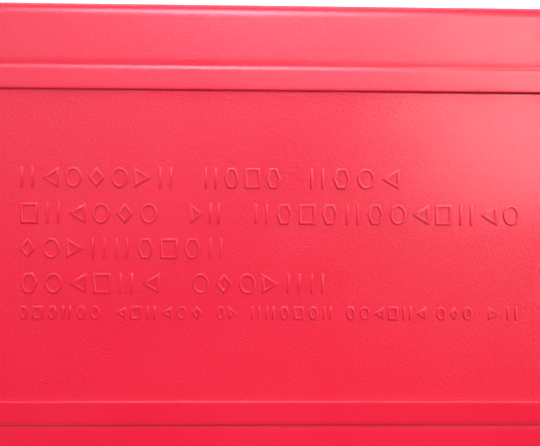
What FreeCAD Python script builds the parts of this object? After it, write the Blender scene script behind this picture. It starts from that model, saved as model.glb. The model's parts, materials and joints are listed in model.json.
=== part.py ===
"""A folding roadside warning triangle on its stand, and the flat hinged case that stores it.

Millimetres, +Z up. The origin is on the ground, at the centre of the whole set's floor area. The case lies
closed in front (towards -Y). The triangle stands behind it, in the XZ plane, on two legs that lie along Y.
"""
import FreeCAD, Part
import math
import os
import Sketcher

DIMENSIONS = {
    # the storage case: two shells that meet halfway up
    "case_length": 442, "case_width": 111.4, "case_height": 42, "case_wall": 2,
    "case_corner": 12, "case_edge": 3,
    "frame_inset": 14.8, "frame_width": 5.5, "frame_height": 0.7, "frame_corner": 6, "panel_corner": 3,
    "cradle_height": 2, "cradle_thick": 1.6, "cradle_pitch": 120,
    "tongue_gap": 0.3, "tongue_thick": 1.2, "tongue_height": 2.5, "tongue_root": 3, "tongue_stop": 20,
    # the case's two hinges and two snap tabs
    "hinge_place": 150, "knuckle_radius": 2.2, "knuckle_gap": 0.4, "hinge_gap": 0.3,
    "lid_knuckle": 16, "tray_knuckle": 10, "hinge_pin_radius": 1,
    "tab_place": 130, "tab_width": 24, "tab_thick": 1.6, "tab_gap": 0.5, "tab_rise": 8, "tab_drop": 8,
    "tab_bridge": 5, "bump_height": 0.3, "bump_width": 16, "bump_tall": 2, "bump_low": 6,
    # the three bars of the triangle
    "pivot_span": 378, "bar_radius": 25, "base_thick": 9.5, "arm_thick": 7.5, "layer_gap": 0.4, "bar_edge": 1,
    "lens_thick": 2.2, "lens_recess": 0.5, "lens_gap": 0.15, "lens_margin": 2, "lens_rib": 1,
    "bright_width": 18, "mitre_start": 17.5,
    "cell_length": 27, "cell_rib": 3, "cell_count": 9, "cell_floor": 1.6,
    "wide_cell": 15, "wide_cell_low": -3.5, "narrow_cell": 13, "narrow_cell_low": -21,
    # rivets at the two pivots, the spacer, and the hooked end that passes it
    "rivet_radius": 3, "head_radius": 7, "head_thick": 1.2, "head_sink": 0.2, "head_gap": 0.3,
    "running_gap": 0.05, "fixed_gap": 0.02, "spacer_radius": 6, "hook_radius": 7.5,
    # the push lock at the top
    "lock_offset": 15.5, "stem_radius": 2.5, "stem_hole_gap": 0.3, "bush_radius": 4.2, "bush_flange": 6.5,
    "bush_lip": 0.8, "knob_radius": 6.5, "knob_thick": 2.5, "lock_travel": 3,
    # the steel stand
    "stand_length": 300, "stand_thick": 1.5, "stand_flange": 17, "stand_bend": 3,
    "stud_radius": 1.6, "stud_head": 3.2, "stud_head_thick": 1, "stud_depth": 4, "stud_up": 8,
    "stud_near": 40, "stud_far": 135,
    "leg_place": 108, "leg_width": 18, "leg_thick": 2, "leg_top": 36, "leg_flat": 64, "leg_bend": 48,
    "leg_slope": 40, "leg_washer": 0.5, "leg_rivet_radius": 2.5, "leg_head_radius": 5.5,
    "foot_length": 19, "foot_width": 22, "foot_height": 13, "foot_cover": 4, "foot_round": 3,
    # free floor between the parked case and the legs
    "park_gap": 14,
}

doc = FreeCAD.newDocument("WarningTriangle")
sheet = doc.addObject("Spreadsheet::Sheet", "Dimensions")
for row, (word, number) in enumerate(DIMENSIONS.items(), start=1):
    sheet.set(f"A{row}", word)
    sheet.set(f"B{row}", str(number))
    sheet.setAlias(f"B{row}", word)
doc.recompute()


class Size:
    """A length from the sheet: its number now, and the formula that keeps a feature tied to the sheet."""

    def __init__(self, number, formula):
        self.number = number
        self.formula = formula

    def joined(self, other, sign, number):
        right = other.formula if isinstance(other, Size) else f"{other:.9g}"
        return Size(number, f"({self.formula} {sign} ({right}))")

    def __add__(self, other):
        return self.joined(other, "+", self.number + number_of(other))

    def __sub__(self, other):
        return self.joined(other, "-", self.number - number_of(other))

    def __mul__(self, other):
        return self.joined(other, "*", self.number * number_of(other))

    def __truediv__(self, other):
        return self.joined(other, "/", self.number / number_of(other))

    def __neg__(self):
        return self * -1

    def __rmul__(self, other):
        return self * other


def number_of(value):
    return value.number if isinstance(value, Size) else float(value)


def dimension(word):
    return Size(float(sheet.get(word)), f"Dimensions.{word}")


class Named:
    """Gives each cell of the sheet as a Size, by its word."""

    def __getattr__(self, word):
        return dimension(word)


d = Named()
ZERO = Size(0.0, "0")
UP_THE_SLOPE = math.tan(math.radians(30))     # the mitred ends lean at 30 degrees to a bar's cross direction
SIDE = 1 / math.cos(math.radians(30))
LEG_SLOPE = math.radians(number_of(d.leg_slope))


def bind(thing, **sizes):
    """Set numeric properties, and tie each one to the sheet."""
    for name, value in sizes.items():
        setattr(thing, name, number_of(value))
        if isinstance(value, Size):
            thing.setExpression(name, value.formula)


def place(thing, x=ZERO, y=ZERO, z=ZERO, turn=None):
    thing.Placement = FreeCAD.Placement(
        FreeCAD.Vector(number_of(x), number_of(y), number_of(z)), turn or FreeCAD.Rotation()
    )
    for axis, value in (("x", x), ("y", y), ("z", z)):
        if isinstance(value, Size):
            thing.setExpression(f"Placement.Base.{axis}", value.formula)


# ---------------------------------------------------------------- bodies, sketches and features

def new_body(label):
    body = doc.addObject("PartDesign::Body", label)
    body.Label = label
    body.AllowCompound = True
    return body


def sketch_on(body, role, height=ZERO):
    """A sketch on one of the body's own origin planes, moved along that plane's normal."""
    sketch = body.newObject("Sketcher::SketchObject", f"{body.Label}_sketch")
    plane = next(item for item in body.Origin.OriginFeatures if item.Role == role)
    sketch.AttachmentSupport = (plane, [""])
    sketch.MapMode = "FlatFace"
    sketch.AttachmentOffset = FreeCAD.Placement(FreeCAD.Vector(0, 0, number_of(height)), FreeCAD.Rotation())
    sketch.setExpression("AttachmentOffset.Base.z", height.formula)
    return sketch


def dimensioned(sketch, constraint, value):
    index = sketch.addConstraint(constraint)
    if isinstance(value, Size):
        sketch.setExpression(f"Constraints[{index}]", value.formula)


def pin_point(sketch, item, point, x, y):
    """Fix a point of the sketch at a distance from the sketch's origin, both ways."""
    dimensioned(sketch, Sketcher.Constraint("DistanceX", -1, 1, item, point, number_of(x)), x)
    dimensioned(sketch, Sketcher.Constraint("DistanceY", -1, 1, item, point, number_of(y)), y)


def polygon(sketch, corners):
    first = sketch.GeometryCount
    points = [FreeCAD.Vector(number_of(x), number_of(y), 0) for x, y in corners]
    for start, end in zip(points, points[1:] + points[:1]):
        sketch.addGeometry(Part.LineSegment(start, end))
    count = len(corners)
    for i, (x, y) in enumerate(corners):
        before = first + (i - 1) % count
        sketch.addConstraint(Sketcher.Constraint("Coincident", before, 2, first + i, 1))
        pin_point(sketch, first + i, 1, x, y)


def rectangle(sketch, x0, y0, x1, y1):
    polygon(sketch, [(x0, y0), (x1, y0), (x1, y1), (x0, y1)])


def circle(sketch, x, y, radius):
    middle = FreeCAD.Vector(number_of(x), number_of(y), 0)
    item = sketch.addGeometry(Part.Circle(middle, FreeCAD.Vector(0, 0, 1), number_of(radius)))
    pin_point(sketch, item, 3, x, y)
    dimensioned(sketch, Sketcher.Constraint("Radius", item, number_of(radius)), radius)


def stadium(sketch, length, radius):
    """A bar outline with half-round ends, centred on the two ends of a line along the sketch's X."""
    out = FreeCAD.Vector(0, 0, 1)
    far = number_of(length)
    r = number_of(radius)
    quarter = math.pi / 2
    top = sketch.addGeometry(Part.LineSegment(FreeCAD.Vector(far, r, 0), FreeCAD.Vector(0, r, 0)))
    near_end = sketch.addGeometry(Part.ArcOfCircle(Part.Circle(FreeCAD.Vector(0, 0, 0), out, r), quarter, 3 * quarter))
    low = sketch.addGeometry(Part.LineSegment(FreeCAD.Vector(0, -r, 0), FreeCAD.Vector(far, -r, 0)))
    far_end = sketch.addGeometry(Part.ArcOfCircle(Part.Circle(FreeCAD.Vector(far, 0, 0), out, r), -quarter, quarter))
    pin_point(sketch, near_end, 3, ZERO, ZERO)
    pin_point(sketch, far_end, 3, length, ZERO)
    dimensioned(sketch, Sketcher.Constraint("Radius", near_end, r), radius)
    dimensioned(sketch, Sketcher.Constraint("Radius", far_end, r), radius)
    for line, line_end, arc, arc_end in ((top, 2, near_end, 1), (low, 1, near_end, 2),
                                         (low, 2, far_end, 1), (top, 1, far_end, 2)):
        sketch.addConstraint(Sketcher.Constraint("Tangent", line, line_end, arc, arc_end))


def rounded_rectangle(sketch, half_x, half_y, radius):
    """A rectangle centred on the sketch's origin, with quarter-round corners."""
    out = FreeCAD.Vector(0, 0, 1)
    r = number_of(radius)
    corners = [(1, 1, 0), (-1, 1, 1), (-1, -1, 2), (1, -1, 3)]
    arcs = []
    for side_x, side_y, quarter in corners:
        x = (half_x - radius) * side_x
        y = (half_y - radius) * side_y
        middle = FreeCAD.Vector(number_of(x), number_of(y), 0)
        start = quarter * math.pi / 2
        arc = sketch.addGeometry(Part.ArcOfCircle(Part.Circle(middle, out, r), start, start + math.pi / 2))
        pin_point(sketch, arc, 3, x, y)
        dimensioned(sketch, Sketcher.Constraint("Radius", arc, r), radius)
        arcs.append(arc)
    for arc, following in zip(arcs, arcs[1:] + arcs[:1]):
        start = sketch.Geometry[arc].EndPoint
        end = sketch.Geometry[following].StartPoint
        line = sketch.addGeometry(Part.LineSegment(start, end))
        sketch.addConstraint(Sketcher.Constraint("Tangent", arc, 2, line, 1))
        sketch.addConstraint(Sketcher.Constraint("Tangent", line, 2, following, 1))


def pad(body, sketch, length, reverse=False, both_ways=False):
    feature = body.newObject("PartDesign::Pad", f"{body.Label}_pad")
    feature.Profile = sketch
    feature.SideType = "Symmetric" if both_ways else "One side"
    feature.Reversed = reverse
    bind(feature, Length=length)
    return settled(body, feature, grows=True)


def pocket(body, sketch, depth=None, reverse=False, both_ways=False):
    """Cut a sketch out of the body, to a depth, or right through where no depth is given."""
    feature = body.newObject("PartDesign::Pocket", f"{body.Label}_pocket")
    feature.Profile = sketch
    feature.SideType = "Symmetric" if both_ways else "One side"
    feature.Reversed = reverse
    if depth is None:
        feature.Type = "ThroughAll"
    else:
        bind(feature, Length=depth)
    return settled(body, feature, grows=False)


def revolved(body, sketch):
    feature = body.newObject("PartDesign::Revolution", f"{body.Label}_turned")
    feature.Profile = sketch
    feature.ReferenceAxis = (sketch, ["V_Axis"])
    feature.Angle = 360
    return settled(body, feature, grows=True)


volumes = {}


def settled(body, feature, grows):
    """Recompute, and stop if a pad added nothing or a pocket cut nothing."""
    feature.recompute(True)
    before = volumes.get(body.Name, 0.0)
    after = feature.Shape.Volume
    if (after - before) * (1 if grows else -1) < 1e-6:
        raise RuntimeError(f"{feature.Label} of {body.Label} changes nothing: {before:.3f} to {after:.3f}")
    volumes[body.Name] = after
    return feature


def edges_where(feature, test):
    """Names of the feature's edges whose two ends, and middle, all pass a test on a point."""
    names = []
    for number, edge in enumerate(feature.Shape.Edges, start=1):
        middle = edge.valueAt((edge.FirstParameter + edge.LastParameter) / 2)
        points = [vertex.Point for vertex in edge.Vertexes] + [middle]
        if all(test(point) for point in points):
            names.append(f"Edge{number}")
    return names


def rounded(body, feature, test, radius):
    names = edges_where(feature, test)
    if not names:
        raise RuntimeError(f"no edge of {body.Label} to round")
    soft = body.newObject("PartDesign::Fillet", f"{body.Label}_rounding")
    soft.Base = (feature, names)
    bind(soft, Radius=radius)
    soft.recompute(True)
    volumes[body.Name] = soft.Shape.Volume
    return soft


def near(value, target):
    return abs(value - number_of(target)) < 1e-4


# ---------------------------------------------------------------- places that several pieces share

half_height = d.case_height / 2
hinge_out = d.knuckle_radius + d.hinge_gap                       # hinge axis outside the case's long wall
leg_reach = d.leg_flat + d.leg_bend * math.cos(LEG_SLOPE) + d.foot_cover
knuckle_reach = hinge_out + d.knuckle_radius
half_floor = (knuckle_reach + d.case_width + d.park_gap + leg_reach * 2) / 2
case_y = -half_floor + knuckle_reach + d.case_width / 2
leg_y = half_floor - leg_reach
face_y = leg_y - d.base_thick - d.stand_thick + d.leg_width / 2  # front face of the base bar
pivot_x = d.pivot_span / 2
pivot_z = d.leg_top + d.leg_washer + d.stand_thick + d.bar_radius
apex_z = pivot_z + d.pivot_span * math.sin(math.radians(60))
left_front = face_y - d.layer_gap - d.arm_thick                  # front face of the left arm
right_front = left_front - d.layer_gap - d.arm_thick             # front face of the right arm


# ---------------------------------------------------------------- the storage case

def fence(sketch, inset_x, inset_y, thick, far_side):
    """Three straight strips inside a shell: along the opening side and both ends, clear of the corners."""
    half_x = d.case_length / 2
    half_y = d.case_width / 2
    for side in (-1, 1):
        rectangle(sketch, side * (half_x - inset_x - thick), -(half_y - d.tongue_stop),
                  side * (half_x - inset_x), half_y - d.tongue_stop)
    rectangle(sketch, -(half_x - d.tongue_stop), far_side * (half_y - inset_y - thick),
              half_x - d.tongue_stop, far_side * (half_y - inset_y))


def knuckle_profile(sketch, hinge_side):
    """A round knuckle outside the long wall, with a web under its centre that runs into the wall."""
    y = (d.case_width / 2 + hinge_out) * hinge_side
    wall = (d.case_width / 2 - d.case_wall / 2) * hinge_side
    r = number_of(d.knuckle_radius)
    cx, cy = number_of(y), number_of(half_height)
    start, end = (0, 3 * math.pi / 2) if hinge_side < 0 else (-math.pi / 2, math.pi)
    arc = sketch.addGeometry(Part.ArcOfCircle(
        Part.Circle(FreeCAD.Vector(cx, cy, 0), FreeCAD.Vector(0, 0, 1), r), start, end))
    side_end, low_end = (1, 2) if hinge_side < 0 else (2, 1)
    level = sketch.addGeometry(Part.LineSegment(
        FreeCAD.Vector(cx - r * hinge_side, cy, 0), FreeCAD.Vector(number_of(wall), cy, 0)))
    down = sketch.addGeometry(Part.LineSegment(
        FreeCAD.Vector(number_of(wall), cy, 0), FreeCAD.Vector(number_of(wall), cy - r, 0)))
    back = sketch.addGeometry(Part.LineSegment(
        FreeCAD.Vector(number_of(wall), cy - r, 0), FreeCAD.Vector(cx, cy - r, 0)))
    for one, one_end, two, two_end in ((arc, side_end, level, 1), (level, 2, down, 1), (down, 2, back, 1)):
        sketch.addConstraint(Sketcher.Constraint("Coincident", one, one_end, two, two_end))
    sketch.addConstraint(Sketcher.Constraint("Tangent", back, 2, arc, low_end))
    pin_point(sketch, arc, 3, y, half_height)
    dimensioned(sketch, Sketcher.Constraint("Radius", arc, r), d.knuckle_radius)
    pin_point(sketch, level, 2, wall, half_height)
    pin_point(sketch, down, 2, wall, half_height - d.knuckle_radius)
    sketch.addConstraint(Sketcher.Constraint("Horizontal", level))


def case_shell(label, hinge_side):
    """One half of the case in its own frame: open upwards, outside face down, hinge at +Y or -Y."""
    body = new_body(label)
    half_x = d.case_length / 2
    half_y = d.case_width / 2
    outline = sketch_on(body, "XY_Plane", d.frame_height)
    rounded_rectangle(outline, half_x, half_y, d.case_corner)
    block = pad(body, outline, half_height - d.frame_height)
    rounded(body, block, lambda p: near(p.z, d.frame_height), d.case_edge)

    hollow = sketch_on(body, "XY_Plane", half_height)
    rounded_rectangle(hollow, half_x - d.case_wall, half_y - d.case_wall, d.case_corner - d.case_wall)
    pocket(body, hollow, half_height - d.frame_height - d.case_wall)

    frame_x = half_x - d.frame_inset
    frame_y = half_y - d.frame_inset
    raised = sketch_on(body, "XY_Plane", d.frame_height)
    rounded_rectangle(raised, frame_x, frame_y, d.frame_corner)
    rounded_rectangle(raised, frame_x - d.frame_width, frame_y - d.frame_width, d.panel_corner)
    pad(body, raised, d.frame_height, reverse=True)

    rib_sketch = sketch_on(body, "XY_Plane", d.frame_height + d.case_wall)
    reach = half_y - d.case_wall / 2
    for place_x in (d.cradle_pitch * -1.5, d.cradle_pitch * -0.5, d.cradle_pitch * 0.5, d.cradle_pitch * 1.5):
        rectangle(rib_sketch, place_x - d.cradle_thick / 2, -reach, place_x + d.cradle_thick / 2, reach)
    pad(body, rib_sketch, d.cradle_height)
    return body


def knuckles(body, hinge_side, starts, length):
    """Knuckles of one shell, each from its start along X, bored for the pin."""
    for start in starts:
        sketch = sketch_on(body, "YZ_Plane", start)
        knuckle_profile(sketch, hinge_side)
        pad(body, sketch, length)


def bore_knuckles(body, hinge_side, gap):
    sketch = sketch_on(body, "YZ_Plane")
    circle(sketch, (d.case_width / 2 + hinge_out) * hinge_side, half_height, d.hinge_pin_radius + gap)
    pocket(body, sketch, d.case_length, both_ways=True)


def case_tray():
    body = case_shell("case_tray", -1)
    outward = d.lid_knuckle / 2 + d.knuckle_gap
    starts = []
    for side in (-1, 1):
        middle = d.hinge_place * side
        starts += [middle - outward - d.tray_knuckle, middle + outward]
    knuckles(body, -1, starts, d.tray_knuckle)
    bore_knuckles(body, -1, d.fixed_gap)
    bump_sketch = sketch_on(body, "XZ_Plane", -d.case_width / 2)
    for side in (-1, 1):
        middle = d.tab_place * side
        rectangle(bump_sketch, middle - d.bump_width / 2, half_height - d.bump_low,
                  middle + d.bump_width / 2, half_height - d.bump_low + d.bump_tall)
    pad(body, bump_sketch, d.bump_height, reverse=True)
    place(body, y=case_y)
    return body


def case_lid():
    """The lid is the same shell turned over about X, so its hinge is at its own +Y."""
    body = case_shell("case_lid", 1)
    knuckles(body, 1, [d.hinge_place * side - d.lid_knuckle / 2 for side in (-1, 1)], d.lid_knuckle)
    bore_knuckles(body, 1, d.running_gap)

    tongue_inset = d.case_wall + d.tongue_gap
    root_sketch = sketch_on(body, "XY_Plane", half_height - d.tongue_root)
    fence(root_sketch, d.case_wall / 2, d.case_wall / 2, d.case_wall / 2 + d.tongue_gap + d.tongue_thick, -1)
    pad(body, root_sketch, d.tongue_root)
    tongue_sketch = sketch_on(body, "XY_Plane", half_height)
    fence(tongue_sketch, tongue_inset, tongue_inset, d.tongue_thick, -1)
    pad(body, tongue_sketch, d.tongue_height)

    wall_y = d.case_width / 2
    tab_sketch = sketch_on(body, "XY_Plane", half_height - d.tab_rise)
    bridge_sketch = sketch_on(body, "XY_Plane", half_height - d.tab_rise)
    for side in (-1, 1):
        left = d.tab_place * side - d.tab_width / 2
        right = d.tab_place * side + d.tab_width / 2
        rectangle(tab_sketch, left, -(wall_y + d.tab_gap + d.tab_thick), right, -(wall_y + d.tab_gap))
        rectangle(bridge_sketch, left, -(wall_y + d.tab_gap), right, -(wall_y - d.case_wall / 2))
    pad(body, bridge_sketch, d.tab_bridge)
    pad(body, tab_sketch, d.tab_rise + d.tab_drop)
    place(body, y=case_y, z=d.case_height, turn=FreeCAD.Rotation(FreeCAD.Vector(1, 0, 0), 180))
    return body


def lid_hinge_pins():
    body = new_body("lid_hinge_pins")
    length = d.lid_knuckle + (d.knuckle_gap + d.tray_knuckle) * 2
    for side in (-1, 1):
        sketch = sketch_on(body, "YZ_Plane", d.hinge_place * side - length / 2)
        circle(sketch, -(d.case_width / 2 + hinge_out), half_height, d.hinge_pin_radius)
        pad(body, sketch, length)
    place(body, y=case_y)
    return body


# ---------------------------------------------------------------- the triangle's bars
# A bar's own frame: pivots on local X at 0 and pivot_span, outer edge of the triangle towards +Z,
# front face at Y = 0 and thickness towards +Y. The three bars are the same bar turned by 120 degrees.

BAR_TURN = {"base": 180, "left_arm": -60, "right_arm": 60}
BAR_START = {
    "base": (pivot_x, face_y, pivot_z),
    "left_arm": (-pivot_x, left_front, pivot_z),
    "right_arm": (ZERO, right_front, apex_z),
}
lens_edge = d.bar_radius - d.lens_margin
split_high = d.bright_width - lens_edge + d.lens_rib
STRIPS = {
    "fluorescent": (-lens_edge, d.bright_width - lens_edge),
    "reflector": (split_high, lens_edge),
}


def place_bar_piece(body, bar, depth=ZERO):
    x, y, z = BAR_START[bar]
    place(body, x, y + depth, z, FreeCAD.Rotation(FreeCAD.Vector(0, 1, 0), BAR_TURN[bar]))


def strip_outline(sketch, strip, gap):
    """A strip with both ends mitred to the slope of the neighbouring bar, shrunk by a gap all round."""
    low, high = STRIPS[strip]

    def start(v):
        return d.mitre_start + (d.bar_radius - v) * UP_THE_SLOPE + gap * SIDE

    low = low + gap
    high = high - gap
    polygon(sketch, [(start(low), low), (d.pivot_span - start(low), low),
                     (d.pivot_span - start(high), high), (start(high), high)])


def hole(body, u, v, radius, depth=None, from_rear=None):
    """A round hole through a bar, or a recess of a given depth from its front or its rear face."""
    sketch = sketch_on(body, "XZ_Plane", -from_rear if from_rear else ZERO)
    circle(sketch, u, v, radius)
    pocket(body, sketch, depth, reverse=bool(from_rear))


def bar_housing(bar, thick):
    body = new_body(f"{bar}_housing")
    outline = sketch_on(body, "XZ_Plane")
    stadium(outline, d.pivot_span, d.bar_radius)
    block = pad(body, outline, thick, reverse=True)
    rounded(body, block, lambda p: near(p.y, 0), d.bar_edge)
    for strip in STRIPS:
        seat = sketch_on(body, "XZ_Plane")
        strip_outline(seat, strip, ZERO)
        pocket(body, seat, d.lens_recess + d.lens_thick)
    lighten(body, thick)
    return body


def lighten(body, thick):
    """Rows of cells under the strips, with ribs between them that carry the strips."""
    pitch = d.cell_length + d.cell_rib
    start = (d.pivot_span - pitch * d.cell_count + d.cell_rib) / 2
    for low, tall in ((d.wide_cell_low, d.wide_cell), (d.narrow_cell_low, d.narrow_cell)):
        sketch = sketch_on(body, "XZ_Plane")
        rectangle(sketch, start, low, start + d.cell_length, low + tall)
        cell = pocket(body, sketch, thick - d.cell_floor)
        row = body.newObject("PartDesign::LinearPattern", f"{body.Label}_cells")
        row.Originals = [cell]
        row.Direction = (sketch, ["H_Axis"])
        row.Occurrences = int(number_of(d.cell_count))
        row.setExpression("Occurrences", d.cell_count.formula)
        bind(row, Length=pitch * (d.cell_count - 1))
        body.Tip = row
        settled(body, row, grows=False)


def head_recess(body, u, thick, rear):
    depth = d.head_thick + d.head_sink
    hole(body, u, ZERO, d.head_radius + d.head_gap, depth, thick if rear else None)


def base_housing():
    body = bar_housing("base", d.base_thick)
    for u in (ZERO, d.pivot_span):
        hole(body, u, ZERO, d.rivet_radius + d.fixed_gap)
        head_recess(body, u, d.base_thick, rear=True)
    studs = sketch_on(body, "XZ_Plane", -d.base_thick)
    for x in (-d.stud_far, -d.stud_near, d.stud_near, d.stud_far):
        circle(studs, pivot_x - x, d.bar_radius - d.stud_up, d.stud_radius + d.fixed_gap)
    pocket(body, studs, d.stud_depth, reverse=True)
    place_bar_piece(body, "base")
    return body


lock_u = d.lock_offset * math.cos(math.radians(30))
lock_v = d.lock_offset * math.sin(math.radians(30))


def left_arm_housing():
    body = bar_housing("left_arm", d.arm_thick)
    hole(body, ZERO, ZERO, d.rivet_radius + d.running_gap)
    head_recess(body, ZERO, d.arm_thick, rear=False)
    hook = sketch_on(body, "XZ_Plane")
    rectangle(hook, d.pivot_span - d.hook_radius, -d.bar_radius * 1.2, d.pivot_span + d.hook_radius, ZERO)
    pocket(body, hook)
    hole(body, d.pivot_span, ZERO, d.hook_radius)
    hole(body, d.pivot_span + lock_u, lock_v, d.stem_radius + d.stem_hole_gap)
    place_bar_piece(body, "left_arm")
    return body


def right_arm_housing():
    body = bar_housing("right_arm", d.arm_thick)
    hole(body, d.pivot_span, ZERO, d.rivet_radius + d.running_gap)
    head_recess(body, d.pivot_span, d.arm_thick, rear=False)
    hole(body, -lock_u, lock_v, d.bush_radius + d.fixed_gap)
    hole(body, -lock_u, lock_v, d.bush_flange + d.fixed_gap, d.bush_lip)
    place_bar_piece(body, "right_arm")
    return body


def strip_lens(bar, strip):
    body = new_body(f"{bar}_{strip}")
    sketch = sketch_on(body, "XZ_Plane")
    strip_outline(sketch, strip, d.lens_gap)
    pad(body, sketch, d.lens_thick, reverse=True)
    place_bar_piece(body, bar, d.lens_recess)
    return body


# ---------------------------------------------------------------- turned pieces: rivets, washers, bush, knob

def turned_along_y(label, outline, x, y, z):
    """A piece turned about a line along Y; the outline's points are (radius, distance along Y)."""
    body = new_body(label)
    sketch = sketch_on(body, "XY_Plane")
    polygon(sketch, outline)
    revolved(body, sketch)
    place(body, x, y, z)
    return body


def rivet_outline(length, shank, head, head_thick):
    return [(ZERO, ZERO), (head, ZERO), (head, head_thick), (shank, head_thick),
            (shank, length - head_thick), (head, length - head_thick), (head, length), (ZERO, length)]


def ring_outline(inner, outer, length):
    return [(inner, ZERO), (outer, ZERO), (outer, length), (inner, length)]


def pivot_pieces():
    """Both pivots: the rivet from the base's rear recess to the arm's front recess, and what spaces the arm."""
    bodies = []
    for side, front, spacing in ((-1, left_front, d.layer_gap), (1, right_front, d.layer_gap * 2 + d.arm_thick)):
        name = "left" if side < 0 else "right"
        rear = face_y + d.base_thick - d.head_sink
        length = rear - front - d.head_sink
        outline = rivet_outline(length, d.rivet_radius, d.head_radius, d.head_thick)
        bodies.append(turned_along_y(f"{name}_pivot_rivet", outline, pivot_x * side, front + d.head_sink, pivot_z))
        piece = "left_pivot_washer" if side < 0 else "right_pivot_spacer"
        outer = d.head_radius if side < 0 else d.spacer_radius
        ring = ring_outline(d.rivet_radius + d.fixed_gap, outer, spacing)
        bodies.append(turned_along_y(piece, ring, pivot_x * side, face_y - spacing, pivot_z))
    return bodies


def apex_lock():
    """The bush in the right arm, and the knob whose stem slides through it into the left arm."""
    z = apex_z + d.lock_offset
    inner = d.stem_radius + d.running_gap
    bush = [(inner, ZERO), (d.bush_flange, ZERO), (d.bush_flange, d.bush_lip), (d.bush_radius, d.bush_lip),
            (d.bush_radius, d.arm_thick), (inner, d.arm_thick)]
    knob_front = -(d.lock_travel + d.knob_thick)
    knob = [(ZERO, knob_front), (d.knob_radius, knob_front), (d.knob_radius, knob_front + d.knob_thick),
            (d.stem_radius, knob_front + d.knob_thick), (d.stem_radius, d.arm_thick), (ZERO, d.arm_thick)]
    return [turned_along_y("apex_lock_bush", bush, ZERO, right_front, z),
            turned_along_y("apex_lock_knob", knob, ZERO, right_front, z)]


# ---------------------------------------------------------------- the steel stand

def stand_rail():
    """An angle of sheet steel: one flange up the base bar's rear face, the other under its lower edge."""
    body = new_body("stand_rail")
    rear = face_y + d.base_thick
    low = pivot_z - d.bar_radius - d.stand_thick
    profile = sketch_on(body, "YZ_Plane")
    polygon(profile, [(rear + d.stand_thick - d.leg_width, low), (rear + d.stand_thick, low),
                      (rear + d.stand_thick, low + d.stand_flange), (rear, low + d.stand_flange),
                      (rear, low + d.stand_thick), (rear + d.stand_thick - d.leg_width, low + d.stand_thick)])
    bent = pad(body, profile, d.stand_length, both_ways=True)
    rounded(body, bent, lambda p: near(p.y, rear + d.stand_thick) and near(p.z, low), d.stand_thick)
    leg_holes = sketch_on(body, "XY_Plane", low)
    for side in (-1, 1):
        circle(leg_holes, d.leg_place * side, leg_y, d.leg_rivet_radius + d.fixed_gap)
    pocket(body, leg_holes, d.stand_thick, reverse=True)
    stud_holes = sketch_on(body, "XZ_Plane", -rear)
    for x in (-d.stud_far, -d.stud_near, d.stud_near, d.stud_far):
        circle(stud_holes, x, pivot_z - d.bar_radius + d.stud_up, d.stud_radius + d.fixed_gap)
    pocket(body, stud_holes, d.stand_thick)
    return body


def rail_studs():
    """Four studs that hold the steel angle to the base bar."""
    body = new_body("rail_studs")
    z = pivot_z - d.bar_radius + d.stud_up
    rear = face_y + d.base_thick
    shanks = sketch_on(body, "XZ_Plane", -(rear + d.stand_thick))
    heads = sketch_on(body, "XZ_Plane", -(rear + d.stand_thick))
    for x in (-d.stud_far, -d.stud_near, d.stud_near, d.stud_far):
        circle(shanks, x, z, d.stud_radius)
        circle(heads, x, z, d.stud_head)
    pad(body, shanks, d.stand_thick + d.stud_depth)
    pad(body, heads, d.stud_head_thick, reverse=True)
    return body


def leg_rivets():
    """Two rivets through the lower flange, with a head below each leg."""
    body = new_body("leg_rivets")
    leg_low = d.leg_top - d.leg_thick
    shanks = sketch_on(body, "XY_Plane", leg_low)
    heads = sketch_on(body, "XY_Plane", leg_low)
    for side in (-1, 1):
        circle(shanks, d.leg_place * side, leg_y, d.leg_rivet_radius)
        circle(heads, d.leg_place * side, leg_y, d.leg_head_radius)
    pad(body, shanks, d.leg_thick + d.leg_washer + d.stand_thick)
    pad(body, heads, d.head_thick, reverse=True)
    return body


def leg_washers():
    body = new_body("leg_washers")
    sketch = sketch_on(body, "XY_Plane", d.leg_top)
    for side in (-1, 1):
        circle(sketch, d.leg_place * side, leg_y, d.leg_head_radius)
        circle(sketch, d.leg_place * side, leg_y, d.leg_rivet_radius + d.fixed_gap)
    pad(body, sketch, d.leg_washer)
    return body


def leg_profile(sketch):
    """Side view of a leg: a flat middle, and two ends bent down to the ground."""
    run = d.leg_bend * math.cos(LEG_SLOPE)
    fall = d.leg_bend * math.sin(LEG_SLOPE)
    turn = d.leg_thick * math.tan(LEG_SLOPE / 2)
    low = d.leg_top - d.leg_thick
    tip_y = d.leg_flat + run
    tip_z = d.leg_top - fall
    under_y = tip_y - d.leg_thick * math.sin(LEG_SLOPE)
    under_z = tip_z - d.leg_thick * math.cos(LEG_SLOPE)
    polygon(sketch, [(-d.leg_flat, d.leg_top), (-tip_y, tip_z), (-under_y, under_z), (turn - d.leg_flat, low),
                     (d.leg_flat - turn, low), (under_y, under_z), (tip_y, tip_z), (d.leg_flat, d.leg_top)])


def leg(name, side):
    body = new_body(f"leg_{name}")
    profile = sketch_on(body, "YZ_Plane")
    leg_profile(profile)
    pad(body, profile, d.leg_width, both_ways=True)
    pivot = sketch_on(body, "XY_Plane", d.leg_top)
    circle(pivot, ZERO, ZERO, d.leg_rivet_radius + d.running_gap)
    pocket(body, pivot, d.leg_thick)
    place(body, d.leg_place * side, leg_y)
    return body


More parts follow.
